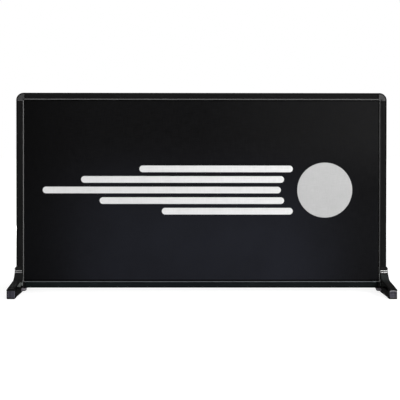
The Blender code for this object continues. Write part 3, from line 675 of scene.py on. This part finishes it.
ROLL = 0.0016  # radius of the rolled edge
CLOTH_GAUGE = 0.0006  # thickness of the cloth
EDGE_STEPS = (0.0, 0.0003, 0.0007, 0.0011, ROLL, 0.0024, 0.0038, 0.0060, 0.0095)  # grid lines, from an edge
CELL = 0.0065  # about the distance between the other grid lines
CALM_EDGE = 0.006  # the ripples fade out towards the edge over this distance
PULL_REACH = 0.045  # the pull of the bead strips fades out towards the middle over this distance
RIPPLE = (16.0, 0.00028, 3.0)  # near the frame: bumps to the metre, their depth, and their place in the noise
WAVE = (3.1, 0.00045, 7.0)  # the same over the middle


def stations(low, high):
    """Grid lines between two edges, close together near each edge."""
    inner_low = low + EDGE_STEPS[-1]
    inner_high = high - EDGE_STEPS[-1]
    count = round((inner_high - inner_low) / CELL)
    middle = [inner_low + (inner_high - inner_low) * step / count for step in range(1, count)]
    return [low + step for step in EDGE_STEPS] + middle + [high - step for step in reversed(EDGE_STEPS)]


def rolled(distance):
    """Depth below the face at this distance from the sheet's edge."""
    if distance >= ROLL:
        return 0.0
    return ROLL - math.sqrt(ROLL**2 - (ROLL - distance) ** 2)


def unevenness(form, x, z, side):
    """Depth of the ripples or the waves at a point of the cloth."""
    density, depth, layer = form
    return noise.noise(Vector((x * density, z * density, side * layer))) * depth


def make_cloth(node, side, finish):
    """side is -1 for the front cloth and 1 for the rear one."""
    low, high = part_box(node)
    face = low.y if side < 0 else high.y
    flange = high.y if side < 0 else low.y
    shape = bmesh.new()
    rows = []
    for z in stations(low.z, high.z):
        row = []
        for x in stations(low.x, high.x):
            edge_x = min(x - low.x, high.x - x)
            edge_z = min(z - low.z, high.z - z)
            edge = min(edge_x, edge_z)
            calm = min(1.0, edge / CALM_EDGE)
            pull = math.exp(-edge / PULL_REACH)
            ripple = unevenness(RIPPLE, x, z, side) * pull
            wave = unevenness(WAVE, x, z, side) * (1.0 - pull)
            depth = max(rolled(edge_x), rolled(edge_z)) + calm * (ripple + wave)
            row.append(shape.verts.new((x, face - side * depth, z)))
        rows.append(row)
    for lower, upper in zip(rows, rows[1:]):
        for column in range(len(lower) - 1):
            shape.faces.new((lower[column], lower[column + 1], upper[column + 1], upper[column]))
    rim = [edge for edge in shape.edges if edge.is_boundary]
    turned = bmesh.ops.extrude_edge_only(shape, edges=rim)
    for vertex in turned["geom"]:
        if isinstance(vertex, bmesh.types.BMVert):
            vertex.co.y = flange
    if side > 0:
        bmesh.ops.reverse_faces(shape, faces=shape.faces[:])
    mesh = bpy.data.meshes.new(node + "_sheet")
    shape.to_mesh(mesh)
    shape.free()
    mesh.shade_smooth()
    mesh.materials.append(finish)
    sheet = bpy.data.objects.new(node + "_sheet", mesh)
    bpy.context.scene.collection.objects.link(sheet)
    gauge = sheet.modifiers.new("gauge", "SOLIDIFY")
    gauge.thickness = CLOTH_GAUGE
    gauge.offset = -1.0
    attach(sheet, "frame")
    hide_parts(node)


make_cloth("front_cloth", -1, cloth_finish("cloth_black_printed", True))
make_cloth("rear_cloth", 1, cloth_finish("cloth_black_plain", False))


# Floor, background and lights

FLOOR_HALF = 60.0
FLOOR_TONE = 0.75  # for light that bounces between the floor and the object
FLOOR_SHADE = 0.40  # in the picture: the part that takes the lamps' light and the object's shadow
FLOOR_GLOW = (0.80, 1.0)  # in the picture: the part that glows, near the object and far from it, up to white
FLOOR_REACH = (1.3, 3.6)  # near and far, from the object's middle
ROOM_LIGHT = (0.10, 0.70)  # before the object and behind it
ROOM_DEPTH = (0.0, 0.9)  # as the Y of a direction
BACKDROP_SEEN = (0.35, 0.75)  # the same: a mirror shows no backdrop below the first, and all past the second

# Soft lamps: place, the point that they face, width and height, and power
LAMPS = {
    "key": ((2.4, -3.4, 1.5), (0.0, 0.0, 0.35), (1.6, 1.4), 170.0),
    "fill": ((-3.0, -3.0, 1.4), (0.0, 0.0, 0.35), (2.0, 1.6), 25.0),
    "top": ((0.4, -0.4, 3.2), (0.0, 0.0, 0.2), (2.2, 1.6), 30.0),
    "back": ((-1.2, 3.6, 0.5), (0.0, 0.0, 0.4), (2.6, 0.8), 90.0),
}


def new_tree(owner):
    owner.use_nodes = True
    owner.node_tree.nodes.clear()
    return owner.node_tree


def wire(tree, kind, inputs, **settings):
    """Adds a shader node, with its settings and inputs, and returns the node."""
    made = tree.nodes.new("ShaderNode" + kind)
    for key, value in settings.items():
        setattr(made, key, value)
    for place, source in inputs.items():
        if isinstance(source, bpy.types.NodeSocket):
            tree.links.new(source, made.inputs[place])
        else:
            made.inputs[place].default_value = source
    return made


def ranged(tree, value, limits, results, **settings):
    """Maps a value from its limits to results."""
    inputs = dict(enumerate((value, *limits, *results)))
    return wire(tree, "MapRange", inputs, **settings).outputs[0]


def either(tree, first, second):
    return wire(tree, "Math", {0: first, 1: second}, operation="MAXIMUM").outputs[0]


def picture_rays(tree):
    """Shares that are 1 for what the camera sees, directly and in a mirror or through glass."""
    rays = wire(tree, "LightPath", {})
    reflected = either(tree, rays.outputs["Is Glossy Ray"], rays.outputs["Is Transmission Ray"])
    return rays.outputs["Is Camera Ray"], reflected


def stage_floor():
    """Pale floor, white in the picture except for the object's shadow."""
    data = bpy.data.meshes.new("floor")
    corners = [(x * FLOOR_HALF, y * FLOOR_HALF, 0) for x, y in ((-1, -1), (1, -1), (1, 1), (-1, 1))]
    data.from_pydata(corners, [], [(0, 1, 2, 3)])
    floor = bpy.data.objects.new("floor", data)
    bpy.context.scene.collection.objects.link(floor)
    material = bpy.data.materials.new("floor_pale")
    tree = new_tree(material)
    seen = either(tree, *picture_rays(tree))
    plain = wire(tree, "BsdfDiffuse", {"Color": grey(FLOOR_TONE)})
    shade = wire(tree, "BsdfDiffuse", {"Color": grey(FLOOR_SHADE)})
    point = wire(tree, "TexCoord", {})
    reach = wire(tree, "VectorMath", {0: point.outputs["Object"]}, operation="LENGTH")
    strength = ranged(tree, reach.outputs["Value"], FLOOR_REACH, FLOOR_GLOW, interpolation_type="SMOOTHSTEP")
    glow = wire(tree, "Emission", {"Color": WHITE, "Strength": strength})
    bright = wire(tree, "AddShader", {0: shade.outputs[0], 1: glow.outputs[0]})
    mixed = wire(tree, "MixShader", {0: seen, 1: plain.outputs[0], 2: bright.outputs[0]})
    wire(tree, "OutputMaterial", {"Surface": mixed.outputs[0]})
    data.materials.append(material)


def stage_world():
    """White where the camera looks; a soft studio for the rest, brighter behind the object than before it."""
    world = bpy.data.worlds.new("studio")
    bpy.context.scene.world = world
    tree = new_tree(world)
    seen, reflected = picture_rays(tree)
    direction = wire(tree, "TexCoord", {})
    depth = wire(tree, "SeparateXYZ", {0: direction.outputs["Generated"]}).outputs["Y"]
    strength = ranged(tree, depth, ROOM_DEPTH, ROOM_LIGHT, interpolation_type="SMOOTHSTEP")
    behind = ranged(tree, depth, BACKDROP_SEEN, (0.0, 1.0))
    mirrored = wire(tree, "Math", {0: reflected, 1: behind}, operation="MULTIPLY").outputs[0]
    room = wire(tree, "Background", {"Strength": strength})
    backdrop = wire(tree, "Background", {"Color": WHITE})
    shown = either(tree, seen, mirrored)
    mixed = wire(tree, "MixShader", {0: shown, 1: room.outputs[0], 2: backdrop.outputs[0]})
    wire(tree, "OutputWorld", {"Surface": mixed.outputs[0]})


def area_light(name, place, target, size, power):
    data = bpy.data.lights.new(name, "AREA")
    data.shape = "RECTANGLE"
    data.size, data.size_y = size
    data.energy = power
    lamp = bpy.data.objects.new(name, data)
    lamp.location = place
    lamp.rotation_euler = (Vector(target) - Vector(place)).to_track_quat("-Z", "Y").to_euler()
    lamp.visible_camera = False
    bpy.context.scene.collection.objects.link(lamp)


stage_floor()
stage_world()
for name, values in LAMPS.items():
    area_light(name, *values)

bpy.context.scene.view_settings.view_transform = "Standard"
